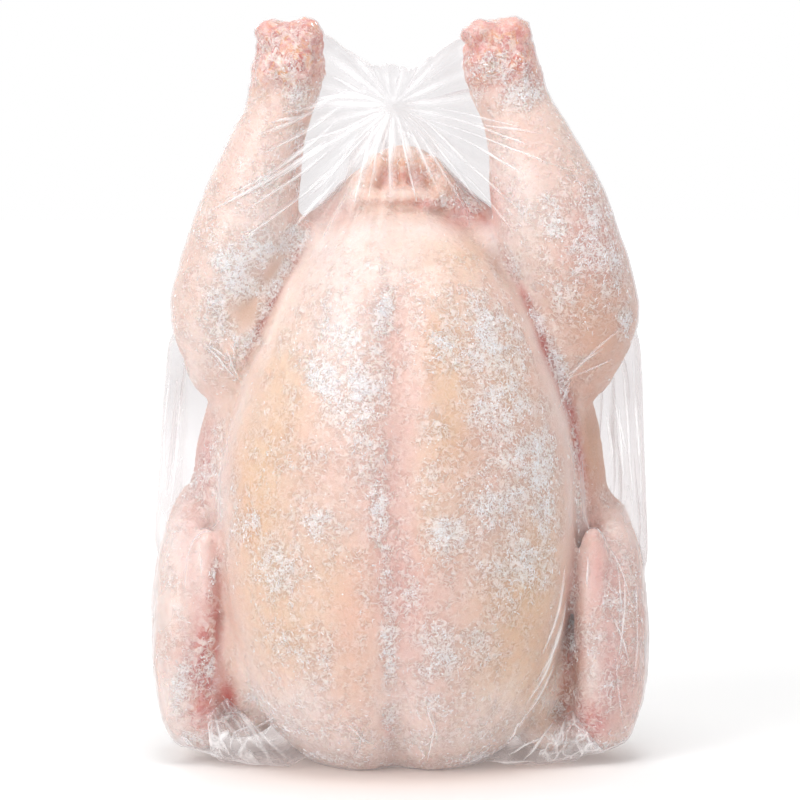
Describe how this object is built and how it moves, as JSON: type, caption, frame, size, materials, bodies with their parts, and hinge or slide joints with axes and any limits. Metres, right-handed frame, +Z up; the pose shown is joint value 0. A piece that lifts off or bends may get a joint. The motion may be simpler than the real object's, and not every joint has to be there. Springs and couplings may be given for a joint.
{
  "type": "bagged whole chicken",
  "caption": "Whole plucked chicken standing on its neck end with its legs up, frosted, in a clear film bag drawn together between the legs.",
  "frame": {"origin": "on the flat underside that it stands on, below the middle of the body", "axes": "+Z up towards the leg ends, -Y out of the breast, +X to the viewer's right when the breast faces the viewer"},
  "size_m": [0.2112, 0.1229, 0.308],
  "materials": {
    "film_over_skin": "clear thin film over pale pink frosted skin"
  },
  "bodies": {
    "root": {"clear_bag": "film_over_skin"}
  },
  "joints": []
}
